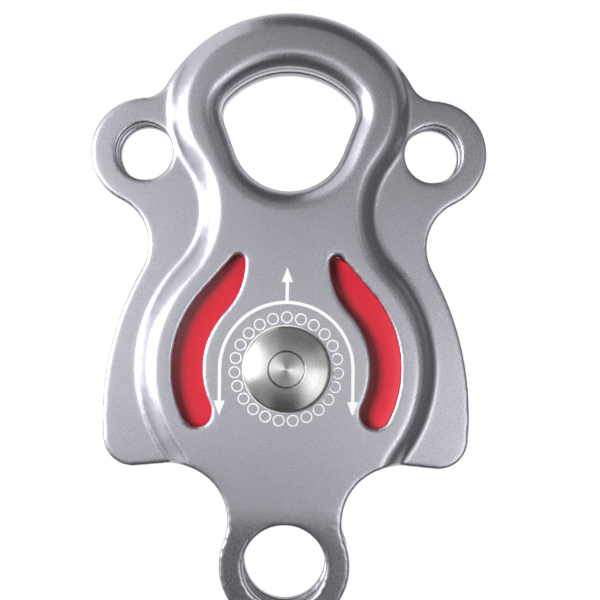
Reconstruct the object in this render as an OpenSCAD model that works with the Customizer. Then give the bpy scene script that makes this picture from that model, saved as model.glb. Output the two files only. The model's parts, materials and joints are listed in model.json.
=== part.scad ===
// Swing-cheek rope pulley with a rigging eye, two ears and a lower ring.
// The axle runs along Y through the origin, +Z points to the top eye and the front faces -Y.

/* [Sheave] */
// Outer diameter of the sheave
sheave_d = 82; // [78:0.5:84]
// Diameter at the bottom of the rope groove
tread_d = 62; // [58:0.5:66]
// Width of the sheave
sheave_w = 19.6; // [19.2:0.2:24]
// Largest rope that the groove takes
rope_d = 16; // [12:0.5:16.5]
// Depth of the dished sides
dish_depth = 1.2; // [0.4:0.1:1.6]
// Gap between the sheave and each plate
sheave_gap = 1.2; // [0.8:0.1:1.6]

/* [Bearings] */
// Bore of each bearing
bearing_bore = 25; // [22:0.5:26]
// Outside diameter of each bearing
bearing_od = 37; // [36:0.5:40]
// Width of each bearing
bearing_w = 7; // [6.5:0.25:7.25]
// Diameter of the balls as a share of the room between bore and outside
ball_share = 0.58; // [0.5:0.01:0.62]
// Balls in each bearing
ball_count = 18; // [12:1:20]
// Thickness of the rib and the ring that keep the bearings apart
rib_w = 1.6; // [1:0.1:2]
// Thickness of the circlips
circlip_t = 1.2; // [1:0.1:1.4]

/* [Axle] */
// Diameter of the necks that carry the plates
neck_d = 18; // [15:0.5:20]
// Diameter of the riveted ends
end_d = 12.4; // [10:0.2:13.6]
// Diameter of the caps
cap_d = 28.7; // [26:0.1:30]
// Thickness of a cap at its rim
cap_rim_t = 2; // [1.4:0.1:3]
// Rise of the cap's conical face
cap_rise = 1.2; // [0.4:0.1:2]
// Thickness of the washers under the caps
washer_t = 0.6; // [0.4:0.1:1]

/* [Side plates] */
// Thickness of the plate metal
plate_t = 4; // [3.5:0.25:4.5]
// How far the centre panel stands out from the wings
step_h = 5; // [4:0.25:6]
// Width of the sloped step round the panel
step_w = 6.5; // [5.5:0.25:7]
// Distance of the step's foot from the sheave
panel_margin = 9; // [8:0.5:10.5]
// Radius of the hourglass waist of the panel
panel_waist_r = 26; // [22:1:32]
// Radius of the panel's shoulders beside the eye
panel_shoulder_r = 30; // [28:0.5:31]
// Width of the flat wings outside the panel
wing_w = 11.7; // [10:0.1:13]
// Radius of the wings' long edges
wing_r = 101; // [92:1:110]
// Height of the wings' widest place, from the axle
wing_z = -16; // [-18:1:-12]
// Height of the wings' lower edge beside the ring, from the axle
wing_low_z = -32.2; // [-33:0.1:-31]
// Slope of the wings' lower edge
wing_droop = 5.5; // [2:0.5:7]
// Radius of the wings' lower corners
wing_corner_r = 10; // [8:0.5:11]
// Radius of the waist between wing and ear
waist_r = 16.4; // [15:0.1:18]

/* [Top eye] */
// Height of the crown's centre above the axle
crown_z = 72; // [70:0.5:75]
// Radius of the crown's outer edge
crown_r = 47.5; // [46:0.5:49]
// Radius of the eye's upper edge
eye_top_r = 28.7; // [27.5:0.1:29.5]
// Radius of the eye's upper corners
eye_corner_r = 8; // [7:0.5:9]
// Distance of the corners' centres from the middle
eye_corner_x = 15; // [14:0.5:16]
// Radius of the eye's lower edge
eye_low_r = 19.5; // [18.5:0.1:20.5]
// Height of the eye's lowest point, from the axle
eye_low_z = 59.6; // [58.5:0.1:62]
// Radius of the eye's rolled lip
lip_r = 6; // [5:0.25:6.5]
// Gap between the two rolled lips
lip_gap = 5; // [3:0.5:7]

/* [Ears] */
// Diameter of the ear holes
ear_hole_d = 19; // [17:0.5:21]
// Distance of the ear holes from the middle
ear_x = 48.5; // [47.5:0.25:51]
// Height of the ear holes above the axle
ear_z = 72.5; // [71:0.1:74]
// Outer radius of the ears
ear_r = 18.1; // [17:0.1:19]
// Radius between ear and crown
ear_fillet_r = 9; // [7:0.5:11]

/* [Lower ring] */
// Diameter of the ring's hole
ring_hole_d = 28; // [26:0.5:30]
// Outer radius of the ring
ring_r = 22; // [20.5:0.5:23.5]
// Height of the ring's centre, from the axle
ring_z = -66.3; // [-69:0.3:-65]
// Radius between the wings' lower edge and the ring
ring_fillet_r = 19; // [17.5:0.5:20.5]
// Inward lean of the ring
ring_tilt = 7.5; // [0:0.5:8]
// Height at which the lean starts
bend_z = -47; // [-50:0.5:-46]

/* [Windows] */
// Width of the curved windows
window_w = 10; // [8:0.25:11]
// Gap in radius between a window's outer edge and the sheave's edge
window_edge = 2.8; // [2.2:0.1:3.6]
// Angle of a window's lower end, below the axle
window_low_a = 26; // [18:1:30]
// Radius of the tail's inner edge
window_tail_r = 24; // [21:0.5:27]
// Radius of the tail's tip
window_tip_r = 2.3; // [1.6:0.1:2.6]

/* [Clearances] */
// Radial clearance of the plates on the axle
pivot_clear = 0.05; // [0.03:0.01:0.1]
// Radial clearance of pieces that are pressed together
seat_clear = 0.02; // [0.01:0.01:0.04]
// End clearance of the pieces that turn
end_clear = 0.1; // [0.05:0.05:0.2]
// Clearance round the balls
ball_clear = 0.08; // [0.05:0.01:0.12]
// Clearance round the seals' running edge
seal_clear = 0.15; // [0.1:0.05:0.25]

/* [Hidden] */
$fn = 96;

// Distances from the middle plane
panel_in = sheave_w / 2 + sheave_gap;
panel_out = panel_in + plate_t;
wing_in = panel_in - step_h;
wing_out = wing_in + plate_t;
lip_end = lip_gap / 2;

// Flat rims of the swept bands, where they meet the plate's flat sheets
step_lap = 2.2;
lip_lap = 0.8;
flange_lap = 3;
// Extra radius of the panel's foot at the crown, where the step runs out over the edge
crown_overrun = 0.6;
// Angle between the crown's middle and the panel's shoulders
shoulder_a = 35;
// Angle below the axle at which the step turns away, the radius of that turn and its end
run_out_a = 36;
run_out_r = 20;
run_out_end_a = 171;
// Where the lower tab is joined to the panel, below the wings' lower edge
tab_drop = 5.5;
// Wall of the rolled lip, its end chamfer and the softening of its inner corner
lip_wall = plate_t;
lip_chamfer = 0.8;
lip_soft = 1.5;
// Sideways shift that keeps the metal's thickness over the step
step_shift = 0.45 * plate_t;
// Radius of the bend above the ring
bend_r = 80;

// Centres of the panel's and the outline's arcs
axle_c = [0, 0];
crown_c = [0, crown_z];
panel_r = sheave_d / 2 + panel_margin;
panel_crown_r = crown_r + crown_overrun;
shoulder_c = crown_c + (panel_crown_r - panel_shoulder_r) * [sin(shoulder_a), cos(shoulder_a)];
panel_waist_c = meet(axle_c, panel_r + panel_waist_r, shoulder_c, panel_shoulder_r + panel_waist_r);
ear_c = [ear_x, ear_z];
ring_c = [0, ring_z];
wing_c = [panel_r + wing_w - wing_r, wing_z];
waist_c = meet(wing_c, wing_r + waist_r, ear_c, ear_r + waist_r);
ear_fillet_c = meet(ear_c, ear_r + ear_fillet_r, crown_c, crown_r + ear_fillet_r);
ring_fillet_z = wing_low_z - ring_fillet_r;
ring_fillet_c = [leg(ring_r + ring_fillet_r, ring_fillet_z - ring_z), ring_fillet_z];
droop_up = [sin(wing_droop), cos(wing_droop)];
droop_along = [cos(wing_droop), -sin(wing_droop)];
droop_start = ring_fillet_c + (ring_fillet_r + wing_corner_r) * droop_up;
wing_corner_c = droop_start
    + reach(droop_start - wing_c, droop_along, wing_r - wing_corner_r) * droop_along;
run_out_c = (panel_r + run_out_r) * [cos(run_out_a), -sin(run_out_a)];
tab_top = wing_low_z - tab_drop;
tab_low = ring_z - ring_r - 1;

// Centres of the eye's arcs
eye_corner_c = [eye_corner_x, crown_z + leg(eye_top_r - eye_corner_r, eye_corner_x)];
eye_low_c = [0, eye_low_z + eye_low_r];
eye_side_a = heading(eye_low_c, eye_corner_c)
    - acos((eye_low_r - eye_corner_r) / norm(eye_corner_c - eye_low_c));

// Windows
window_out = sheave_d / 2 - window_edge;
window_in = window_out - window_w;
window_turn_a = 43;
window_edge_a = 41;
window_tail_c = (window_in + window_tail_r) * [cos(window_turn_a), sin(window_turn_a)];
window_tip_reach = window_tail_r - window_tip_r;
window_tip_a = window_edge_a + acos((window_out - window_tip_r
    - (window_in + window_tail_r) * cos(window_turn_a - window_edge_a)) / window_tip_reach);
window_tip_c = window_tail_c + window_tip_reach * [cos(window_tip_a), sin(window_tip_a)];

// Stack of pieces along the axle
groove_r = rope_d / 2 + 0.5;
groove_flare = 0.14;
bearing_mid = rib_w / 2 + bearing_w / 2;
bearing_end = rib_w / 2 + bearing_w;
shoulder_end = panel_in - end_clear;
washer_in = panel_out + end_clear;
cap_in = washer_in + washer_t;
cap_out = cap_in + cap_rim_t + cap_rise;
ball_ring_r = (bearing_bore + bearing_od) / 4;
ball_d = ball_share * (bearing_od - bearing_bore) / 2;
ring_wall = (bearing_od - bearing_bore) / 4 - 0.32 * ball_d;
inner_ring_r = bearing_bore / 2 + ring_wall;
outer_ring_r = bearing_od / 2 - ring_wall;
seal_t = 0.6;
seal_inset = 0.3;
// Room between a cage and the seal behind it
cage_gap = 0.3;
collar_wall = 1.8;
circlip_in = bearing_end + seat_clear;
circlip_groove = 1;
chamfer = 0.5;

// The other side of a right triangle
function leg(long, short) = sqrt(long * long - short * short);

// How far a point can go in a direction before it comes to a circle round the origin
function reach(from, way, r) = leg(r, norm(from - (from * way) * way)) - from * way;

// Direction from one point to another
function heading(from, to) = atan2(to.y - from.y, to.x - from.x);

// Where two circles meet, on the right of the way from the first centre to the second
function meet(c1, r1, c2, r2) =
    let (d = c2 - c1, gap = norm(d), e = d / gap, along = (r1 * r1 - r2 * r2 + gap * gap) / (2 * gap))
    c1 + along * e + leg(r1, along) * [e.y, -e.x];

// Stations along an arc, each a point and the way out of the metal; side is -1 on a hollow arc
function stations(c, r, a0, a1, step, side = 1) =
    let (n = max(1, ceil(abs(a1 - a0) / step)))
    [for (i = [0:n]) let (a = a0 + (a1 - a0) * i / n, d = [cos(a), sin(a)]) [c + r * d, side * d]];

// A right half and its mirror image, from the lower right round to the lower left
function both_sides(half) = concat(half,
    [for (i = [len(half) - 2:-1:0]) [[-half[i][0].x, half[i][0].y], [-half[i][1].x, half[i][1].y]]]);

// A right half and its mirror image as a closed line, with no doubled station at the middle
function closed(half) = let (whole = both_sides(half)) [for (i = [0:len(whole) - 2]) whole[i]];

// Points at a distance outwards from the stations
function beside(line, u) = [for (s = line) s[0] + u * s[1]];

// Stations without the doubled points where two arcs meet
function thinned(line) = [for (i = [0:len(line) - 1])
    if (i == 0 || norm(line[i][0] - line[i - 1][0]) > 0.001) line[i]];

// Foot of the step round the raised panel; it runs out over the lower edge on both sides of the tab
panel_foot = let (waist_a = heading(axle_c, panel_waist_c), neck_a = heading(shoulder_c, panel_waist_c))
    both_sides(thinned(concat(
        stations(run_out_c, run_out_r, run_out_end_a, 180 - run_out_a, 5, -1),
        stations(axle_c, panel_r, -run_out_a, waist_a, 6),
        stations(panel_waist_c, panel_waist_r, waist_a + 180, neck_a + 180, 9, -1),
        stations(shoulder_c, panel_shoulder_r, neck_a, 90 - shoulder_a, 8),
        stations(crown_c, panel_crown_r, 90 - shoulder_a, 90, 6))));

// Edge of the wings, ears and crown
upper_edge = let (corner_a = heading(wing_c, wing_corner_c), waist_a = heading(wing_c, waist_c),
    ear_a = heading(ear_c, waist_c), fillet_a = heading(ear_c, ear_fillet_c),
    crown_a = heading(crown_c, ear_fillet_c))
    thinned(concat(
        stations(wing_corner_c, wing_corner_r, -90 - wing_droop, corner_a, 6),
        stations(wing_c, wing_r, corner_a, waist_a, 2.5),
        stations(waist_c, waist_r, waist_a + 180, ear_a + 180, 6, -1),
        stations(ear_c, ear_r, ear_a, fillet_a, 6),
        stations(ear_fillet_c, ear_fillet_r, fillet_a + 180, crown_a + 180, 6, -1),
        stations(crown_c, crown_r, crown_a, 90, 3)));

// Edge of the lower tab and its ring
lower_edge = let (fillet_a = heading(ring_c, ring_fillet_c))
    concat(stations(ring_c, ring_r, -90, fillet_a, 5),
        stations(ring_fillet_c, ring_fillet_r, fillet_a + 180, 90 - wing_droop, 5, -1));

// Whole edge of a plate
plate_edge = closed(thinned(concat(lower_edge, upper_edge)));

// Edge of the top eye, all round
eye_edge = let (top_a = heading(crown_c, eye_corner_c))
    closed(thinned(concat(
        stations(eye_low_c, eye_low_r, -90, eye_side_a, 7),
        stations(eye_corner_c, eye_corner_r, eye_side_a, top_a, 11),
        stations(crown_c, eye_top_r, top_a, 90, 6))));

// Edge of the right-hand window
window_line = let (low_c = (window_in + window_w / 2) * [cos(-window_low_a), sin(-window_low_a)])
    thinned(concat(
        stations(axle_c, window_out, -window_low_a, window_edge_a, 3),
        stations(window_tip_c, window_tip_r, window_edge_a, window_tip_a, 12),
        stations(window_tail_c, window_tail_r, window_tip_a, window_turn_a + 180, 5),
        stations(axle_c, window_in, window_turn_a, -window_low_a, 4),
        stations(low_c, window_w / 2, 180 - window_low_a, 360 - window_low_a, 10)));

// Cross-section of the step: outer and inner face from the wing up to the panel, as [out, height];
// it is steep at the foot and rolls over softly at the top
step_shares = [0, 0.3, 0.45, 0.58, 0.7, 0.8, 0.9, 1];
step_face = concat([[flange_lap, wing_out]],
    [for (k = step_shares) [-step_w * k, wing_out + step_h * sin(90 * k)]],
    [[-step_w - step_lap, panel_out]]);
step_back = concat([[flange_lap, wing_in]],
    [for (i = [1:len(step_shares)]) step_face[i] - [step_shift, plate_t]],
    [[-step_w - step_lap, panel_in]]);

// Cross-section of the rolled lip: outer and inner face from the panel down to the lip's end
lip_steps = 6;
lip_face = concat([[lip_r + lip_lap, panel_out]],
    [for (i = [0:lip_steps]) let (a = 90 * i / lip_steps)
        [lip_r * (1 - sin(a)), panel_out - lip_r * (1 - cos(a))]],
    [[0, lip_end + lip_chamfer], [lip_chamfer, lip_end]]);
lip_back = concat([[lip_r + lip_lap, panel_in]],
    [for (i = [0:lip_steps]) let (a = 90 * i / lip_steps)
        [lip_wall + lip_soft * (1 - sin(a)), panel_in - lip_soft * (1 - cos(a))]],
    [[lip_wall, lip_end + lip_chamfer], [lip_wall - lip_chamfer, lip_end]]);

// Turns a plate's sketch (x across, y up, z out) into the front of the pulley
module front_side() {
    rotate([90, 0, 0])
        children();
}

// The same for the rear of the pulley
module rear_side() {
    mirror([0, 1, 0])
        front_side()
            children();
}

// A sheet between two heights
module sheet(low, high) {
    translate([0, 0, low])
        linear_extrude(height = high - low)
            children();
}

// A band of metal with the given outer and inner faces, swept along stations
module band(line, face, back, closed) {
    n = len(line);
    k = len(face);
    m = 2 * k;
    section = concat(face, [for (i = [k - 1:-1:0]) back[i]]);
    points = [for (s = line) for (p = section) [s[0].x + s[1].x * p.x, s[0].y + s[1].y * p.x, p.y]];
    skin = [for (i = [0:closed ? n - 1 : n - 2]) for (j = [0:m - 1])
        let (a = i * m, b = ((i + 1) % n) * m, j2 = (j + 1) % m)
        [a + j, a + j2, b + j2, b + j]];
    last = (n - 1) * m;
    caps = closed ? [] : concat(
        [for (j = [0:k - 2]) [m - 1 - j, m - 2 - j, j + 1, j]],
        [for (j = [0:k - 2]) [last + j, last + j + 1, last + m - 2 - j, last + m - 1 - j]]);
    polyhedron(points = points, faces = concat(skin, caps), convexity = 8);
}

// Whole outline of a plate
module plate_outline() {
    polygon(beside(plate_edge, 0));
}

// A line of points with both ends drawn straight down to a height
function down_to(points, low) = concat(points, [[points[len(points) - 1].x, low], [points[0].x, low]]);

// Flat wings and ears outside the panel
module wing_sheet() {
    sheet(wing_in, wing_out)
        difference() {
            plate_outline();
            polygon(down_to(beside(panel_foot, flange_lap), tab_low));
        }
}

// Sloped step between the wings and the panel
module step_band() {
    intersection() {
        band(panel_foot, step_face, step_back, false);
        sheet(wing_in - 1, panel_out + 1)
            plate_outline();
    }
}

// Flat raised panel with the axle's hole and the windows
module panel_sheet() {
    sheet(panel_in, panel_out)
        difference() {
            intersection() {
                plate_outline();
                polygon(down_to(beside(panel_foot, -step_w - step_lap), tab_top));
            }
            polygon(beside(eye_edge, lip_r + lip_lap));
            circle(d = neck_d + 2 * pivot_clear);
            for (side = [0, 1])
                mirror([side, 0])
                    polygon(beside(window_line, 0));
        }
}

// Side view of the lower tab: straight down from the panel, then leaning in, as [height, out]
function tab_face(out) =
    let (low = tab_low - plate_t, turn_c = [bend_z, panel_in - bend_r],
        bend = stations(turn_c, bend_r + out, 90, 90 + ring_tilt, 1.5),
        end = bend[len(bend) - 1][0], run = end.x - low)
    concat([[tab_top, panel_in + out]], beside(bend, 0), [[low, end.y - run * tan(ring_tilt)]]);

// Lower tab with the leaning ring
module lower_tab() {
    back = tab_face(0);
    side_view = concat(tab_face(plate_t), [for (i = [len(back) - 1:-1:0]) back[i]]);
    difference() {
        intersection() {
            rotate([90, 0, 90])
                linear_extrude(height = 2 * panel_r, center = true)
                    polygon(side_view);
            sheet(0, panel_out + 1)
                plate_outline();
        }
        translate([0, ring_z, -1])
            cylinder(d = ring_hole_d, h = panel_out + 2);
    }
}

// One side plate in its sketch frame
module plate() {
    difference() {
        union() {
            wing_sheet();
            step_band();
            panel_sheet();
            band(eye_edge, lip_face, lip_back, true);
            lower_tab();
        }
        for (side = [-1, 1])
            translate([side * ear_x, ear_z, 0])
                cylinder(d = ear_hole_d, h = panel_out);
    }
}

module front_plate() {
    color([0.72, 0.72, 0.74])
        front_side()
            plate();
}

module rear_plate() {
    color([0.70, 0.70, 0.72])
        rear_side()
            plate();
}

// Stepped axle: wide under the bearings, then the plates' necks, then the riveted ends
module axle() {
    wide = bearing_bore / 2 - seat_clear;
    neck = neck_d / 2;
    end = end_d / 2;
    tip = cap_out - chamfer / 2;
    color([0.80, 0.80, 0.82])
        front_side()
            rotate_extrude()
                polygon([[0, -tip], [end - chamfer, -tip], [end, chamfer - tip], [end, -cap_in],
                    [neck, -cap_in], [neck, -shoulder_end], [wide, -shoulder_end], [wide, shoulder_end],
                    [neck, shoulder_end], [neck, cap_in], [end, cap_in], [end, tip - chamfer],
                    [end - chamfer, tip], [0, tip]]);
}

// Turned cap with a shallow conical face round the riveted end
module axle_cap() {
    rim = cap_d / 2;
    hole = end_d / 2 + seat_clear;
    color([0.82, 0.82, 0.84])
        rotate_extrude()
            polygon([[hole, cap_in], [rim, cap_in], [rim, cap_in + cap_rim_t - chamfer],
                [rim - chamfer, cap_in + cap_rim_t], [hole + chamfer, cap_out], [hole, cap_out - chamfer]]);
}

module front_axle_cap() {
    front_side()
        axle_cap();
}

module rear_axle_cap() {
    rear_side()
        axle_cap();
}

// Ring of rectangular section round the axle
module ring(inner, outer, low, high) {
    rotate_extrude()
        translate([inner, low])
            square([outer - inner, high - low]);
}

// Thin wear washer between cap and plate
module cap_washer() {
    color([0.90, 0.90, 0.88])
        ring(neck_d / 2 + seat_clear, cap_d / 2 + chamfer, washer_in, cap_in);
}

module front_cap_washer() {
    front_side()
        cap_washer();
}

module rear_cap_washer() {
    rear_side()
        cap_washer();
}

// Collar that keeps a bearing off the plate
module collar() {
    color([0.78, 0.79, 0.80])
        ring(bearing_bore / 2, bearing_bore / 2 + collar_wall, bearing_end, shoulder_end);
}

module front_collar() {
    front_side()
        collar();
}

module rear_collar() {
    rear_side()
        collar();
}

// Half of the sheave's section, with the rope groove, the dished sides and the bearing seats
module sheave_section() {
    rim = sheave_d / 2;
    half = sheave_w / 2;
    seat = bearing_od / 2 + seat_clear;
    groove_at = tread_d / 2 + groove_r;
    lip_half = groove_r + groove_flare * (rim + 1 - groove_at);
    dish_in = seat + 3;
    dish_out = rim - 1.5;
    dish_half = (dish_out - dish_in) / 2;
    dish_r = (dish_half * dish_half + dish_depth * dish_depth) / (2 * dish_depth);
    difference() {
        polygon([[seat, -half], [rim - chamfer, -half], [rim, chamfer - half], [rim, half - chamfer],
            [rim - chamfer, half], [seat, half], [seat, rib_w / 2], [outer_ring_r, rib_w / 2],
            [outer_ring_r, -rib_w / 2], [seat, -rib_w / 2]]);
        translate([groove_at, 0])
            circle(r = groove_r);
        polygon([[groove_at, -groove_r], [rim + 1, -lip_half], [rim + 1, lip_half], [groove_at, groove_r]]);
        for (side = [-1, 1]) {
            translate([(dish_in + dish_out) / 2, side * (half - dish_depth + dish_r)])
                circle(r = dish_r);
            translate([seat - 1, side * (circlip_in + circlip_t / 2) - circlip_t / 2 - seat_clear])
                square([1 + circlip_groove, circlip_t + 2 * seat_clear]);
        }
    }
}

module sheave() {
    color([0.75, 0.05, 0.07])
        front_side()
            rotate_extrude()
                sheave_section();
}

// Sprung ring with two drilled lugs, in the sheave's groove
module circlip() {
    outer = bearing_od / 2 + circlip_groove - seat_clear;
    inner = outer_ring_r + 0.3;
    lug_r = 1.3;
    lug_at = inner - 0.1;
    opening = 16;
    lug_a = opening + asin(lug_r / lug_at);
    color([0.25, 0.25, 0.27])
        sheet(circlip_in, circlip_in + circlip_t)
            difference() {
                union() {
                    difference() {
                        circle(r = outer);
                        circle(r = inner);
                        polygon([axle_c, 2 * outer * [cos(90 - opening), sin(90 - opening)],
                            2 * outer * [cos(90 + opening), sin(90 + opening)]]);
                    }
                    for (side = [-1, 1])
                        translate(lug_at * [sin(side * lug_a), cos(side * lug_a)])
                            circle(r = lug_r);
                }
                for (side = [-1, 1])
                    translate(lug_at * [sin(side * lug_a), cos(side * lug_a)])
                        circle(r = lug_r / 2);
            }
}

module front_circlip() {
    front_side()
        circlip();
}

module rear_circlip() {
    rear_side()
        circlip();
}

// Ring between the two inner rings
module bearing_spacer() {
    color([0.80, 0.80, 0.82])
        front_side()
            ring(bearing_bore / 2, inner_ring_r, -rib_w / 2, rib_w / 2);
}

// Section of a race: a plain ring with the balls' track cut into it
module race(inner, outer) {
    color([0.76, 0.77, 0.80])
        rotate_extrude()
            difference() {
                translate([inner, bearing_mid - bearing_w / 2])
                    square([outer - inner, bearing_w]);
                translate([ball_ring_r, bearing_mid])
                    circle(r = ball_d / 2 + ball_clear);
            }
}

module inner_ring() {
    race(bearing_bore / 2, inner_ring_r);
}

module outer_ring() {
    race(outer_ring_r, bearing_od / 2);
}

// One of the places round the axle where a ball runs
module each_ball() {
    for (i = [0:ball_count - 1])
        rotate([0, 0, 360 * i / ball_count])
            translate([ball_ring_r, 0, bearing_mid])
                children();
}

module balls() {
    color([0.85, 0.86, 0.88])
        each_ball()
            sphere(d = ball_d);
}

// Moulded cage: a ring with a round pocket for each ball, open on one side
module cage() {
    room = outer_ring_r - inner_ring_r;
    wall = 0.32 * room;
    cage_back = bearing_w / 2 - seal_inset - seal_t - cage_gap;
    color([0.88, 0.84, 0.72])
        difference() {
            ring(ball_ring_r - wall, ball_ring_r + wall,
                bearing_mid - cage_back, bearing_mid + 0.28 * ball_d);
            each_ball()
                sphere(d = ball_d + 2 * ball_clear);
        }
}

// Seal held in the outer ring, with a running gap at the inner ring
module seal(out) {
    middle = bearing_mid + out * (bearing_w / 2 - seal_inset - seal_t / 2);
    color([0.12, 0.12, 0.13])
        ring(inner_ring_r + seal_clear, outer_ring_r - seat_clear, middle - seal_t / 2, middle + seal_t / 2);
}

module front_inner_ring() {
    front_side()
        inner_ring();
}

module front_outer_ring() {
    front_side()
        outer_ring();
}

module front_balls() {
    front_side()
        balls();
}

module front_cage() {
    front_side()
        cage();
}

module front_outer_seal() {
    front_side()
        seal(1);
}

module front_inner_seal() {
    front_side()
        seal(-1);
}

module rear_inner_ring() {
    rear_side()
        inner_ring();
}

module rear_outer_ring() {
    rear_side()
        outer_ring();
}

module rear_balls() {
    rear_side()
        balls();
}

module rear_cage() {
    rear_side()
        cage();
}

module rear_outer_seal() {
    rear_side()
        seal(1);
}

module rear_inner_seal() {
    rear_side()
        seal(-1);
}

front_plate();
rear_plate();
axle();
front_axle_cap();
rear_axle_cap();
front_cap_washer();
rear_cap_washer();
front_collar();
rear_collar();
sheave();
front_circlip();
rear_circlip();
bearing_spacer();
front_inner_ring();
front_outer_ring();
front_balls();
front_cage();
front_outer_seal();
front_inner_seal();
rear_inner_ring();
rear_outer_ring();
rear_balls();
rear_cage();
rear_outer_seal();
rear_inner_seal();
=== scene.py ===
import json
import math

import bpy
from mathutils import Matrix, Vector

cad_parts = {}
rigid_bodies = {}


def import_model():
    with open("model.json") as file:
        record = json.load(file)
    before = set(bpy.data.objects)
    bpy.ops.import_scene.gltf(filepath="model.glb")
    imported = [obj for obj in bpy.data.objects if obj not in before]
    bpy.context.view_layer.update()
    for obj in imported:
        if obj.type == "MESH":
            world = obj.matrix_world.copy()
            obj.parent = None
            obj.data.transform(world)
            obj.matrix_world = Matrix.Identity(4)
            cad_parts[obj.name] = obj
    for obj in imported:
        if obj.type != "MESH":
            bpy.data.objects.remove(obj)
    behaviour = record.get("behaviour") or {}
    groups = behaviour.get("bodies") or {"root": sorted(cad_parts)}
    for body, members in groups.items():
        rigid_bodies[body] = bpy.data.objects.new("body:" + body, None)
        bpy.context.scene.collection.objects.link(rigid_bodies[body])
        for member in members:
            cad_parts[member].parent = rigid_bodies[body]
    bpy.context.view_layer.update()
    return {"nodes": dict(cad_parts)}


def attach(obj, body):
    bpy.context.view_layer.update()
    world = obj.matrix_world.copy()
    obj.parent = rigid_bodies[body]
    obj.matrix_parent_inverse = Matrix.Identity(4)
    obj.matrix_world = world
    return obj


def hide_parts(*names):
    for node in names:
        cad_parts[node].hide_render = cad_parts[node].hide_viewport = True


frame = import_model()
nodes = frame["nodes"]

MM = 0.001

# Sizes shared with the solids, in millimetres
PANEL_OUT = 15.0
WASHER_IN = 15.1
CAP_IN = 15.7
CAP_RIM = 17.7
CAP_OUT = 18.9
CAP_R = 14.35
CAP_HOLE_R = 6.22
WASHER_R = 14.85
WASHER_HOLE_R = 9.02
SHEAVE_R = 41.0
SHEAVE_HALF = 9.8
TREAD_R = 31.0
GROOVE_R = 8.5
GROOVE_FLARE = 0.14
DISH_DEPTH = 1.2
BEARING_SEAT_R = 18.52
RIB_R = 16.6136
RIB_HALF = 0.8
CLIP_GROOVE_R = 19.5
CLIP_GROOVE_IN = 7.8
CLIP_GROOVE_OUT = 9.04

# Finer sizes that only the looks need, in millimetres
SKIN_VOXEL = 0.45
SKIN_BORE_R = 9.3
CAP_EDGE = 0.5
CAP_HOLE_EDGE = 0.15
CAP_SOFT = 0.15
WASHER_SOFT = 0.1
SHEAVE_EDGE = 0.5
DISH_FROM_SEAT = 3.0
DISH_FROM_RIM = 1.5
MERGE_GAP = 0.001
CAD_MERGE_GAP = 0.002

QUARTER = math.pi / 2


def select_only(obj):
    bpy.ops.object.select_all(action="DESELECT")
    obj.select_set(True)
    bpy.context.view_layer.objects.active = obj


def apply_modifier(obj, kind, **settings):
    select_only(obj)
    modifier = obj.modifiers.new(kind.lower(), kind)
    for key, value in settings.items():
        setattr(modifier, key, value)
    bpy.ops.object.modifier_apply(modifier=modifier.name)


def settle(obj):
    """Puts a piece's place, turn and size into its mesh."""
    select_only(obj)
    bpy.ops.object.transform_apply(location=True, rotation=True, scale=True)


def smooth(obj, angle):
    """Shades smooth across edges flatter than the angle, in degrees."""
    select_only(obj)
    bpy.ops.object.shade_smooth_by_angle(angle=math.radians(angle))


def finish_piece(obj, body, slot, *replaced):
    """Ties a piece to its body, in place of the CAD nodes named. The slot is not used."""
    settle(obj)
    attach(obj, body)
    if replaced:
        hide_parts(*replaced)
    return obj


# Materials: fineness of each pattern, per metre, and depth of each grain, in metres

SATIN_GRAIN = 2600.0
SATIN_CLOUD = 26.0
PLAIN_GRAIN = 1400.0
PLAIN_CLOUD = 60.0
FINE_RINGS = 5200.0
BROAD_RINGS = 900.0
SATIN_DEPTH = 0.06 * MM
TURNED_DEPTH = 0.04 * MM
PLAIN_DEPTH = 0.05 * MM
MIDDLE = (0.3, 0.7)


def new_group(name, inputs, outputs):
    group = bpy.data.node_groups.new(name, "ShaderNodeTree")
    for label, kind, value in inputs:
        socket = group.interface.new_socket(name=label, in_out="INPUT", socket_type=kind)
        if value is not None:
            socket.default_value = value
    for label, kind in outputs:
        group.interface.new_socket(name=label, in_out="OUTPUT", socket_type=kind)
    start = group.nodes.new("NodeGroupInput")
    end = group.nodes.new("NodeGroupOutput")
    start.location = (-900, 0)
    end.location = (600, 0)
    return group, start, end


def add(tree, kind, **settings):
    node = tree.nodes.new(kind)
    for key, value in settings.items():
        setattr(node, key, value)
    return node


def noise(tree, vector, scale, detail, roughness):
    """scale is a number or a socket."""
    node = add(tree, "ShaderNodeTexNoise")
    node.inputs["Detail"].default_value = detail
    node.inputs["Roughness"].default_value = roughness
    if isinstance(scale, (int, float)):
        node.inputs["Scale"].default_value = scale
    else:
        tree.links.new(scale, node.inputs["Scale"])
    tree.links.new(vector, node.inputs["Vector"])
    return node.outputs["Fac"]


def ramp(tree, value, low, high, to_low, to_high):
    """Stretches a value from one range to another."""
    node = add(tree, "ShaderNodeMapRange")
    ends = (("From Min", low), ("From Max", high), ("To Min", to_low), ("To Max", to_high))
    for label, number in ends:
        node.inputs[label].default_value = number
    tree.links.new(value, node.inputs["Value"])
    return node.outputs["Result"]


def satin_grain_group():
    """Fine blasted grain and soft clouding of a satin metal surface."""
    group, start, end = new_group(
        "satin_grain",
        [
            ("Vector", "NodeSocketVector", None),
            ("Grain", "NodeSocketFloat", SATIN_GRAIN),
            ("Cloud", "NodeSocketFloat", SATIN_CLOUD),
        ],
        [("Grain", "NodeSocketFloat"), ("Cloud", "NodeSocketFloat")],
    )
    vector = start.outputs["Vector"]
    grain = noise(group, vector, start.outputs["Grain"], 3.0, 0.6)
    cloud = noise(group, vector, start.outputs["Cloud"], 3.0, 0.55)
    group.links.new(grain, end.inputs["Grain"])
    group.links.new(cloud, end.inputs["Cloud"])
    return group


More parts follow.
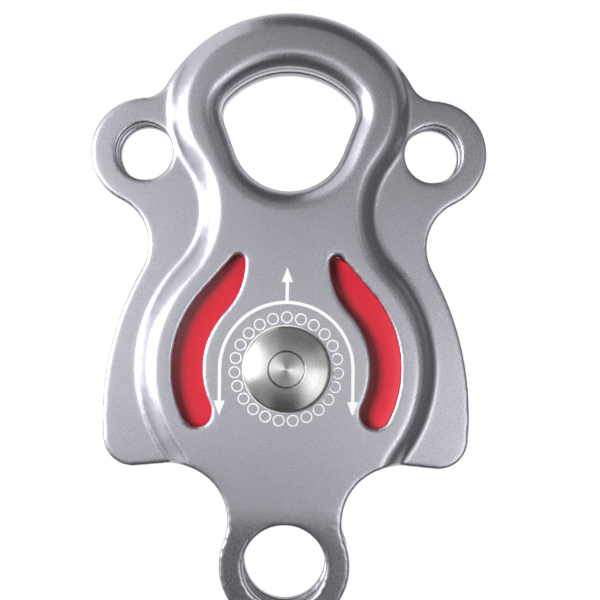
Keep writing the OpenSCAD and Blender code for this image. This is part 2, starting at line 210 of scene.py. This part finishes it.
def turned_marks_group():
    """Fine rings that a lathe leaves round the Y axis."""
    group, start, end = new_group(
        "turned_marks",
        [("Vector", "NodeSocketVector", None), ("Rings", "NodeSocketFloat", FINE_RINGS)],
        [("Rings", "NodeSocketFloat"), ("Broad", "NodeSocketFloat")],
    )
    split = add(group, "ShaderNodeSeparateXYZ")
    group.links.new(start.outputs["Vector"], split.inputs[0])
    flat = add(group, "ShaderNodeCombineXYZ")
    group.links.new(split.outputs["X"], flat.inputs["X"])
    group.links.new(split.outputs["Z"], flat.inputs["Y"])
    radius = add(group, "ShaderNodeVectorMath", operation="LENGTH")
    group.links.new(flat.outputs[0], radius.inputs[0])
    along = add(group, "ShaderNodeCombineXYZ")
    group.links.new(radius.outputs["Value"], along.inputs["X"])
    rings = noise(group, along.outputs[0], start.outputs["Rings"], 3.0, 0.7)
    broad = noise(group, along.outputs[0], BROAD_RINGS, 2.0, 0.5)
    group.links.new(rings, end.inputs["Rings"])
    group.links.new(broad, end.inputs["Broad"])
    return group


GRAIN = satin_grain_group()
TURNED = turned_marks_group()


def new_material(name):
    material = bpy.data.materials.new(name)
    material.use_nodes = True
    tree = material.node_tree
    shader = tree.nodes["Principled BSDF"]
    coords = add(tree, "ShaderNodeTexCoord").outputs["Object"]
    return material, tree, shader, coords


def colour_between(tree, value, dark, light):
    mix = add(tree, "ShaderNodeMix", data_type="RGBA")
    mix.inputs["A"].default_value = (*dark, 1.0)
    mix.inputs["B"].default_value = (*light, 1.0)
    tree.links.new(value, mix.inputs["Factor"])
    return mix.outputs["Result"]


def bump(tree, shader, height, strength, distance):
    node = add(tree, "ShaderNodeBump")
    node.inputs["Strength"].default_value = strength
    node.inputs["Distance"].default_value = distance
    tree.links.new(height, node.inputs["Height"])
    tree.links.new(node.outputs["Normal"], shader.inputs["Normal"])


def place_group(tree, group, coords, **values):
    node = add(tree, "ShaderNodeGroup")
    node.node_tree = group
    tree.links.new(coords, node.inputs["Vector"])
    for key, value in values.items():
        node.inputs[key].default_value = value
    return node


def dress(tree, shader, patch, dark, light, grain, rough):
    """Colour from a soft patchy value, roughness from a fine grain."""
    tree.links.new(colour_between(tree, patch, dark, light), shader.inputs["Base Color"])
    tree.links.new(ramp(tree, grain, *MIDDLE, *rough), shader.inputs["Roughness"])


def satin_metal(name, dark, light, rough, strength=0.12, metallic=1.0):
    material, tree, shader, coords = new_material(name)
    shader.inputs["Metallic"].default_value = metallic
    surface = place_group(tree, GRAIN, coords)
    dress(tree, shader, surface.outputs["Cloud"], dark, light, surface.outputs["Grain"], rough)
    bump(tree, shader, surface.outputs["Grain"], strength, SATIN_DEPTH)
    return material


def turned_metal(name, dark, light, rough, anisotropic):
    """Metal whose gleam is drawn out across the marks of the lathe."""
    material, tree, shader, coords = new_material(name)
    shader.inputs["Metallic"].default_value = 1.0
    shader.inputs["Anisotropic"].default_value = anisotropic
    shader.inputs["Anisotropic Rotation"].default_value = 0.25
    marks = place_group(tree, TURNED, coords)
    dress(tree, shader, marks.outputs["Broad"], dark, light, marks.outputs["Rings"], rough)
    tangent = add(tree, "ShaderNodeTangent", direction_type="RADIAL", axis="Y")
    tree.links.new(tangent.outputs["Tangent"], shader.inputs["Tangent"])
    bump(tree, shader, marks.outputs["Rings"], 0.12, TURNED_DEPTH)
    return material


def plain_finish(name, dark, light, rough, metallic=0.0, strength=0.1):
    material, tree, shader, coords = new_material(name)
    shader.inputs["Metallic"].default_value = metallic
    surface = place_group(tree, GRAIN, coords, Grain=PLAIN_GRAIN, Cloud=PLAIN_CLOUD)
    dress(tree, shader, surface.outputs["Cloud"], dark, light, surface.outputs["Grain"], rough)
    bump(tree, shader, surface.outputs["Grain"], strength, PLAIN_DEPTH)
    return material


PLATE = satin_metal("blasted_aluminium", (0.49, 0.49, 0.545), (0.55, 0.55, 0.61), (0.24, 0.34))
RED = satin_metal(
    "red_anodised", (0.56, 0.010, 0.028), (0.64, 0.016, 0.036), (0.26, 0.36), strength=0.06, metallic=0.05
)
STEEL = turned_metal("turned_steel", (0.50, 0.49, 0.49), (0.64, 0.63, 0.63), (0.20, 0.32), 0.85)
BEARING = turned_metal("ground_steel", (0.62, 0.62, 0.64), (0.70, 0.70, 0.72), (0.12, 0.20), 0.3)
WASHER = plain_finish("acetal_washer", (0.66, 0.66, 0.64), (0.74, 0.74, 0.72), (0.34, 0.46))
CAGE = plain_finish("nylon_cage", (0.68, 0.60, 0.44), (0.76, 0.70, 0.54), (0.40, 0.55))
RUBBER = plain_finish("seal_rubber", (0.018, 0.018, 0.02), (0.03, 0.03, 0.032), (0.55, 0.7))
SPRING = plain_finish(
    "dark_spring_steel", (0.10, 0.10, 0.105), (0.15, 0.15, 0.155), (0.3, 0.42), metallic=1.0
)
INK = plain_finish("white_print", (0.88, 0.88, 0.88), (0.93, 0.93, 0.93), (0.5, 0.62), strength=0.03)


def paint(obj, material):
    obj.data.materials.clear()
    obj.data.materials.append(material)


# The solids that are shown as they are: the axle and all that is inside the sheave
paint(nodes["axle"], STEEL)
paint(nodes["bearing_spacer"], STEEL)
for place in ("front", "rear"):
    paint(nodes[f"{place}_collar"], STEEL)
    for ring in ("inner_ring", "outer_ring", "balls"):
        paint(nodes[f"{place}_{ring}"], BEARING)
    paint(nodes[f"{place}_cage"], CAGE)
    paint(nodes[f"{place}_outer_seal"], RUBBER)
    paint(nodes[f"{place}_inner_seal"], RUBBER)
    paint(nodes[f"{place}_circlip"], SPRING)


# Side plates: the pressed shape with its sharp edges rounded off


SKIN_PASSES = 20
SKIN_LAST_PASSES = 4
SKIN_KEPT_SHARE = 0.42
SKIN_SMOOTH_ANGLE = 60


def clear_bore(piece):
    """Bores the plate a little wide, so that its rounded skin stays clear of the axle."""
    bpy.ops.object.select_all(action="DESELECT")
    bpy.ops.mesh.primitive_cylinder_add(
        vertices=96, radius=SKIN_BORE_R * MM, depth=4 * PANEL_OUT * MM, rotation=(QUARTER, 0, 0)
    )
    drill = bpy.context.view_layer.objects.active
    apply_modifier(piece, "BOOLEAN", operation="DIFFERENCE", solver="EXACT", object=drill)
    bpy.data.objects.remove(drill)


def rounded_plate(node, name, body):
    """A copy of the solid, built anew from small cells, evened out and thinned."""
    select_only(nodes[node])
    bpy.ops.object.duplicate()
    piece = bpy.context.view_layer.objects.active
    piece.name = name
    bpy.ops.object.parent_clear(type="CLEAR_KEEP_TRANSFORM")
    bpy.ops.object.mode_set(mode="EDIT")
    bpy.ops.mesh.select_all(action="SELECT")
    bpy.ops.mesh.remove_doubles(threshold=CAD_MERGE_GAP * MM)
    bpy.ops.object.mode_set(mode="OBJECT")
    apply_modifier(piece, "REMESH", mode="VOXEL", voxel_size=SKIN_VOXEL * MM)
    apply_modifier(piece, "SMOOTH", factor=0.5, iterations=SKIN_PASSES)
    apply_modifier(piece, "DECIMATE", ratio=SKIN_KEPT_SHARE)
    apply_modifier(piece, "SMOOTH", factor=0.5, iterations=SKIN_LAST_PASSES)
    clear_bore(piece)
    paint(piece, PLATE)
    smooth(piece, SKIN_SMOOTH_ANGLE)
    return finish_piece(piece, body, "plate_metal", node)


rounded_plate("front_plate", "front_plate_rounded", "front_side")
rounded_plate("rear_plate", "rear_plate_rounded", "rear_side")


# Turned pieces: a section drawn point by point and spun round the axle


TURNED_STEPS = 128
WASHER_STEPS = 96
TURNED_SMOOTH_ANGLE = 34
BEVEL_FROM_ANGLE = math.radians(25)


def turned_piece(name, section, steps, soft=0.0):
    """section is a closed loop of (radius, distance along -Y), in millimetres.

    soft is the width of the bevel on its edges.
    """
    points = [Vector((r * MM, -along * MM, 0.0)) for r, along in section]
    bpy.ops.object.select_all(action="DESELECT")
    bpy.ops.mesh.primitive_plane_add(size=1 * MM, location=(0, 0, 0))
    piece = bpy.context.view_layer.objects.active
    piece.name = name
    bpy.ops.object.mode_set(mode="EDIT")
    bpy.ops.mesh.select_all(action="SELECT")
    bpy.ops.mesh.merge(type="CENTER")
    bpy.ops.transform.translate(value=points[0])
    for here, there in zip(points, points[1:] + points[:1]):
        bpy.ops.mesh.extrude_region_move(TRANSFORM_OT_translate={"value": there - here})
    bpy.ops.mesh.select_all(action="SELECT")
    bpy.ops.mesh.remove_doubles(threshold=MERGE_GAP * MM)
    bpy.ops.mesh.spin(steps=steps, angle=2 * math.pi, center=(0, 0, 0), axis=(0, 1, 0))
    bpy.ops.mesh.select_all(action="SELECT")
    bpy.ops.mesh.remove_doubles(threshold=MERGE_GAP * MM)
    bpy.ops.mesh.normals_make_consistent(inside=False)
    bpy.ops.object.mode_set(mode="OBJECT")
    if soft:
        apply_modifier(
            piece, "BEVEL", width=soft * MM, segments=2, limit_method="ANGLE",
            angle_limit=BEVEL_FROM_ANGLE, use_clamp_overlap=True,
        )
    smooth(piece, TURNED_SMOOTH_ANGLE)
    return piece


def cap_section(side):
    loop = [
        (CAP_HOLE_R, CAP_IN), (CAP_R, CAP_IN), (CAP_R, CAP_RIM - CAP_EDGE), (CAP_R - CAP_EDGE, CAP_RIM),
        (CAP_HOLE_R + CAP_HOLE_EDGE, CAP_OUT), (CAP_HOLE_R, CAP_OUT - CAP_HOLE_EDGE),
    ]
    return [(r, side * along) for r, along in loop]


def washer_section(side):
    loop = [(WASHER_HOLE_R, WASHER_IN), (WASHER_R, WASHER_IN), (WASHER_R, CAP_IN), (WASHER_HOLE_R, CAP_IN)]
    return [(r, side * along) for r, along in loop]


for side, place in ((1, "front"), (-1, "rear")):
    cap = turned_piece(f"{place}_turned_cap", cap_section(side), TURNED_STEPS, CAP_SOFT)
    paint(cap, STEEL)
    finish_piece(cap, "rear_side", "turned_steel", f"{place}_axle_cap")
    washer = turned_piece(f"{place}_thin_washer", washer_section(side), WASHER_STEPS, WASHER_SOFT)
    paint(washer, WASHER)
    finish_piece(washer, "rear_side", "washer_plastic", f"{place}_cap_washer")


DISH_STEPS = 12
GROOVE_STEPS = 13


def sheave_section():
    """Half of the section up to the middle, then its mirror image."""
    dish_in = BEARING_SEAT_R + DISH_FROM_SEAT
    dish_out = SHEAVE_R - DISH_FROM_RIM
    dish_half = (dish_out - dish_in) / 2
    dish_r = (dish_half**2 + DISH_DEPTH**2) / (2 * DISH_DEPTH)
    dish_mid = (dish_in + dish_out) / 2
    dish = []
    for i in range(DISH_STEPS + 1):
        r = dish_in + (dish_out - dish_in) * i / DISH_STEPS
        dish.append((r, SHEAVE_HALF - DISH_DEPTH + dish_r - math.sqrt(dish_r**2 - (r - dish_mid) ** 2)))
    groove_mid = TREAD_R + GROOVE_R
    groove = [(SHEAVE_R, GROOVE_R + GROOVE_FLARE * (SHEAVE_R - groove_mid))]
    for i in range(GROOVE_STEPS + 1):
        a = QUARTER * (1 - i / GROOVE_STEPS)
        groove.append((groove_mid - GROOVE_R * math.cos(a), GROOVE_R * math.sin(a)))
    half = [
        (RIB_R, 0.0), (RIB_R, RIB_HALF), (BEARING_SEAT_R, RIB_HALF), (BEARING_SEAT_R, CLIP_GROOVE_IN),
        (CLIP_GROOVE_R, CLIP_GROOVE_IN), (CLIP_GROOVE_R, CLIP_GROOVE_OUT),
        (BEARING_SEAT_R, CLIP_GROOVE_OUT), (BEARING_SEAT_R, SHEAVE_HALF), *dish,
        (SHEAVE_R - SHEAVE_EDGE, SHEAVE_HALF), (SHEAVE_R, SHEAVE_HALF - SHEAVE_EDGE), *groove,
    ]
    return half + [(r, -along) for r, along in half[-2:0:-1]]


sheave = turned_piece("red_sheave", sheave_section(), TURNED_STEPS)
paint(sheave, RED)
finish_piece(sheave, "sheave_set", "red_metal", "sheave")


# White print round the axle: rings for the balls, and arrows for the load

PRINT_LIFT = 0.02
PRINT_THICKNESS = 0.015
PRINT_Y = -(PANEL_OUT + PRINT_LIFT) * MM

BALL_MARKS = 23
BALL_MARK_R = 2.0
BALL_MARK_LINE = 0.42
BALL_MARK_CIRCLE_R = 17.3
ARCH_R = 21.7
ARCH_LINE = 1.1
ARROW_WIDTH = 3.8
ARROW_HEIGHT = 5.0
ROPE_ARROW_TIP_Z = -15.7
LOAD_ARROW_TIP_Z = 34.0


def flat_circle(vertices, radius, fill, place):
    """A circle that faces the front."""
    bpy.ops.object.select_all(action="DESELECT")
    bpy.ops.mesh.primitive_circle_add(
        vertices=vertices, radius=radius * MM, fill_type=fill, location=place, rotation=(QUARTER, 0, 0)
    )
    return bpy.context.view_layer.objects.active


def flat_ring(radius, line, x, z):
    ring = flat_circle(28, radius, "NGON", (x * MM, PRINT_Y, z * MM))
    bpy.ops.object.mode_set(mode="EDIT")
    bpy.ops.mesh.select_all(action="SELECT")
    bpy.ops.mesh.inset(thickness=line * MM)
    bpy.ops.mesh.delete(type="FACE")
    bpy.ops.object.mode_set(mode="OBJECT")
    return ring


def flat_head(x, z, width, height, up):
    """A solid arrow head whose point is at (x, z)."""
    head = flat_circle(3, 1.0, "NGON", (0, 0, 0))
    settle(head)
    lowest = min(v.co.z for v in head.data.vertices)
    highest = max(v.co.z for v in head.data.vertices)
    widest = max(v.co.x for v in head.data.vertices)
    points_up = sum(1 for v in head.data.vertices if v.co.z > highest - 1e-6) == 1
    point = highest if points_up else lowest
    wider = width * MM / (2 * widest)
    taller = height * MM / (highest - lowest) * (1 if points_up == up else -1)
    bpy.ops.object.mode_set(mode="EDIT")
    bpy.ops.mesh.select_all(action="SELECT")
    bpy.ops.transform.resize(value=(wider, 1, taller), center_override=(0, 0, 0))
    bpy.ops.transform.translate(value=(x * MM, PRINT_Y, z * MM - taller * point))
    bpy.ops.object.mode_set(mode="OBJECT")
    return head


def flat_bar(x0, z0, x1, z1):
    """A straight line of print between two opposite corners."""
    middle = ((x0 + x1) / 2 * MM, PRINT_Y, (z0 + z1) / 2 * MM)
    bpy.ops.object.select_all(action="DESELECT")
    bpy.ops.mesh.primitive_plane_add(size=1, location=middle, rotation=(QUARTER, 0, 0))
    bar = bpy.context.view_layer.objects.active
    bar.scale = (abs(x1 - x0) * MM, abs(z1 - z0) * MM, 1)
    settle(bar)
    return bar


def flat_arch(radius, line):
    """The upper half of a ring line."""
    arch = flat_circle(96, radius, "NOTHING", (0, PRINT_Y, 0))
    settle(arch)
    wider = (radius + line) / radius
    bpy.ops.object.mode_set(mode="EDIT")
    bpy.ops.mesh.select_all(action="SELECT")
    bpy.ops.mesh.bisect(plane_co=(0, 0, 0), plane_no=(0, 0, 1), clear_inner=True)
    bpy.ops.mesh.select_all(action="SELECT")
    bpy.ops.mesh.extrude_edges_move()
    bpy.ops.transform.resize(value=(wider, 1, wider), center_override=(0, PRINT_Y, 0))
    bpy.ops.object.mode_set(mode="OBJECT")
    return arch


def load_marks():
    """The arch with its rope arrows, the load arrow above it and the ring of balls."""
    arch_out = ARCH_R + ARCH_LINE
    arch_mid = ARCH_R + ARCH_LINE / 2
    marks = [flat_arch(ARCH_R, ARCH_LINE)]
    for side in (-1, 1):
        marks.append(flat_bar(side * ARCH_R, 0.0, side * arch_out, ROPE_ARROW_TIP_Z + ARROW_HEIGHT))
        marks.append(flat_head(side * arch_mid, ROPE_ARROW_TIP_Z, ARROW_WIDTH, ARROW_HEIGHT, False))
    marks.append(flat_bar(-ARCH_LINE / 2, arch_out, ARCH_LINE / 2, LOAD_ARROW_TIP_Z - ARROW_HEIGHT))
    marks.append(flat_head(0.0, LOAD_ARROW_TIP_Z, ARROW_WIDTH, ARROW_HEIGHT, True))
    for i in range(BALL_MARKS):
        a = QUARTER + 2 * math.pi * i / BALL_MARKS
        x, z = BALL_MARK_CIRCLE_R * math.cos(a), BALL_MARK_CIRCLE_R * math.sin(a)
        marks.append(flat_ring(BALL_MARK_R, BALL_MARK_LINE, x, z))
    bpy.ops.object.select_all(action="DESELECT")
    for mark in marks:
        mark.select_set(True)
    bpy.context.view_layer.objects.active = marks[0]
    bpy.ops.object.join()
    piece = marks[0]
    piece.name = "white_load_marks"
    settle(piece)
    bpy.ops.object.mode_set(mode="EDIT")
    bpy.ops.mesh.select_all(action="SELECT")
    bpy.ops.mesh.remove_doubles(threshold=MERGE_GAP * MM)
    bpy.ops.mesh.normals_make_consistent(inside=False)
    bpy.ops.object.mode_set(mode="OBJECT")
    apply_modifier(piece, "SOLIDIFY", thickness=PRINT_THICKNESS * MM, offset=0.0)
    paint(piece, INK)
    return finish_piece(piece, "front_side", "washer_plastic")


load_marks()


# Cards, lights and camera


def grey_card(name, place, turn, size, grey):
    """A card that only the metal sees, as a studio uses to shape reflections."""
    bpy.ops.object.select_all(action="DESELECT")
    bpy.ops.mesh.primitive_plane_add(size=1, location=place, rotation=turn)
    card = bpy.context.view_layer.objects.active
    card.name = name
    card.scale = (size[0], size[1], 1)
    settle(card)
    material = bpy.data.materials.new(name)
    material.use_nodes = True
    tree = material.node_tree
    glow = add(tree, "ShaderNodeEmission")
    glow.inputs["Color"].default_value = (grey, grey, grey, 1.0)
    tree.links.new(glow.outputs["Emission"], tree.nodes["Material Output"].inputs["Surface"])
    paint(card, material)
    card.visible_camera = False
    card.visible_diffuse = False
    card.visible_shadow = False


FACING = (QUARTER, 0, 0)
SIDEWAYS = (0, QUARTER, 0)
LEVEL = (0, 0, 0)
FAR = 1.60
HIGH = 1.20

# In front of the part: name, middle across and up, width, height and grey
for name, x, z, width, height, grey in (
    ("card_front_upper", 0.24, 0.27, 0.72, 0.30, 0.01),
    ("card_front_upper_left", -0.31, 0.27, 0.38, 0.30, 0.60),
    ("card_front_mid_right", 0.62, 0.035, 0.60, 0.17, 0.25),
    ("card_front_top", 0.05, 0.81, 1.10, 0.78, 0.28),
    ("card_front_top_right", 1.10, 0.81, 1.00, 0.78, 0.25),
    ("card_front_foot", -0.04, -0.70, 0.70, 1.00, 0.01),
    ("card_front_low_right", 0.50, -0.30, 0.50, 0.50, 2.8),
    ("card_front_left", -1.05, -0.39, 1.10, 1.62, 0.32),
    ("card_front_right", 1.25, -0.19, 0.70, 1.22, 0.45),
):
    grey_card(name, (x, -FAR, z), FACING, (width, height), grey)

# To the right, behind, below and above
grey_card("card_right_near", (FAR, -1.175, 0.0), SIDEWAYS, (2.40, 0.85), 0.38)
grey_card("card_right", (FAR, -0.225, 0.0), SIDEWAYS, (2.40, 1.05), 0.16)
grey_card("card_back_left", (-FAR, 0.80, 0.0), SIDEWAYS, (2.40, 0.80), 0.20)
grey_card("card_back_right", (FAR, 0.80, 0.0), SIDEWAYS, (2.40, 0.80), 0.45)
grey_card("card_back_top", (0.0, FAR, 0.80), FACING, (2.40, 0.80), 0.30)
grey_card("card_back_foot", (0.0, FAR, -0.80), FACING, (2.40, 0.60), 0.10)
grey_card("card_below", (0.0, -0.65, -HIGH), LEVEL, (3.20, 1.90), 0.10)
grey_card("card_above", (0.65, -0.65, HIGH), LEVEL, (1.90, 1.90), 0.12)


def studio_world():
    """White where it is seen or mirrored; as light, soft from behind and faint from the front."""
    world = bpy.data.worlds.new("studio")
    bpy.context.scene.world = world
    world.use_nodes = True
    tree = world.node_tree
    background = tree.nodes["Background"]
    coords = add(tree, "ShaderNodeTexCoord").outputs["Generated"]
    split = add(tree, "ShaderNodeSeparateXYZ")
    tree.links.new(coords, split.inputs[0])
    light = ramp(tree, split.outputs["Y"], -0.2, 0.7, 0.05, 0.8)
    seen = add(tree, "ShaderNodeLightPath")
    shown = seen.outputs["Is Camera Ray"]
    for label in ("Is Glossy Ray", "Is Transmission Ray"):
        either = add(tree, "ShaderNodeMath", operation="MAXIMUM")
        tree.links.new(shown, either.inputs[0])
        tree.links.new(seen.outputs[label], either.inputs[1])
        shown = either.outputs[0]
    mix = add(tree, "ShaderNodeMix", data_type="RGBA")
    tree.links.new(shown, mix.inputs["Factor"])
    tree.links.new(light, mix.inputs["A"])
    mix.inputs["B"].default_value = (1.0, 1.0, 1.0, 1.0)
    tree.links.new(mix.outputs["Result"], background.inputs["Color"])
    background.inputs["Strength"].default_value = 1.0


studio_world()


def soft_light(name, place, target, size, power):
    data = bpy.data.lights.new(name, "AREA")
    data.shape = "RECTANGLE"
    data.size, data.size_y = size
    data.energy = power
    lamp = bpy.data.objects.new(name, data)
    bpy.context.scene.collection.objects.link(lamp)
    lamp.location = place
    lamp.rotation_euler = (Vector(target) - Vector(place)).to_track_quat("-Z", "Y").to_euler()
    return lamp


LAMP_TARGET = (0, 0, 0.02)

# The key gleams on the metal, and the fill lights the red sheave and the print
key = soft_light("key_left", (-0.70, -0.55, 0.06), LAMP_TARGET, (1.2, 0.45), 5.6)
key.visible_diffuse = False
fill = soft_light("fill_left", (-0.42, -0.66, 0.12), LAMP_TARGET, (0.3, 0.3), 7.8)
fill.visible_glossy = False

CAMERA_PLACE = Vector((4.3 * MM, -582 * MM, 23.1 * MM))
CAMERA_ROLL = math.radians(0.67)
CAMERA_ANGLE = math.radians(20)
camera_data = bpy.data.cameras.new("photo_camera")
camera_data.sensor_fit = "HORIZONTAL"
camera_data.angle = CAMERA_ANGLE
camera = bpy.data.objects.new("photo_camera", camera_data)
bpy.context.scene.collection.objects.link(camera)
camera.matrix_world = (
    Matrix.Translation(CAMERA_PLACE)
    @ Matrix.Rotation(QUARTER, 4, "X")
    @ Matrix.Rotation(CAMERA_ROLL, 4, "Z")
)
bpy.context.scene.camera = camera

bpy.context.scene.view_settings.view_transform = "Standard"
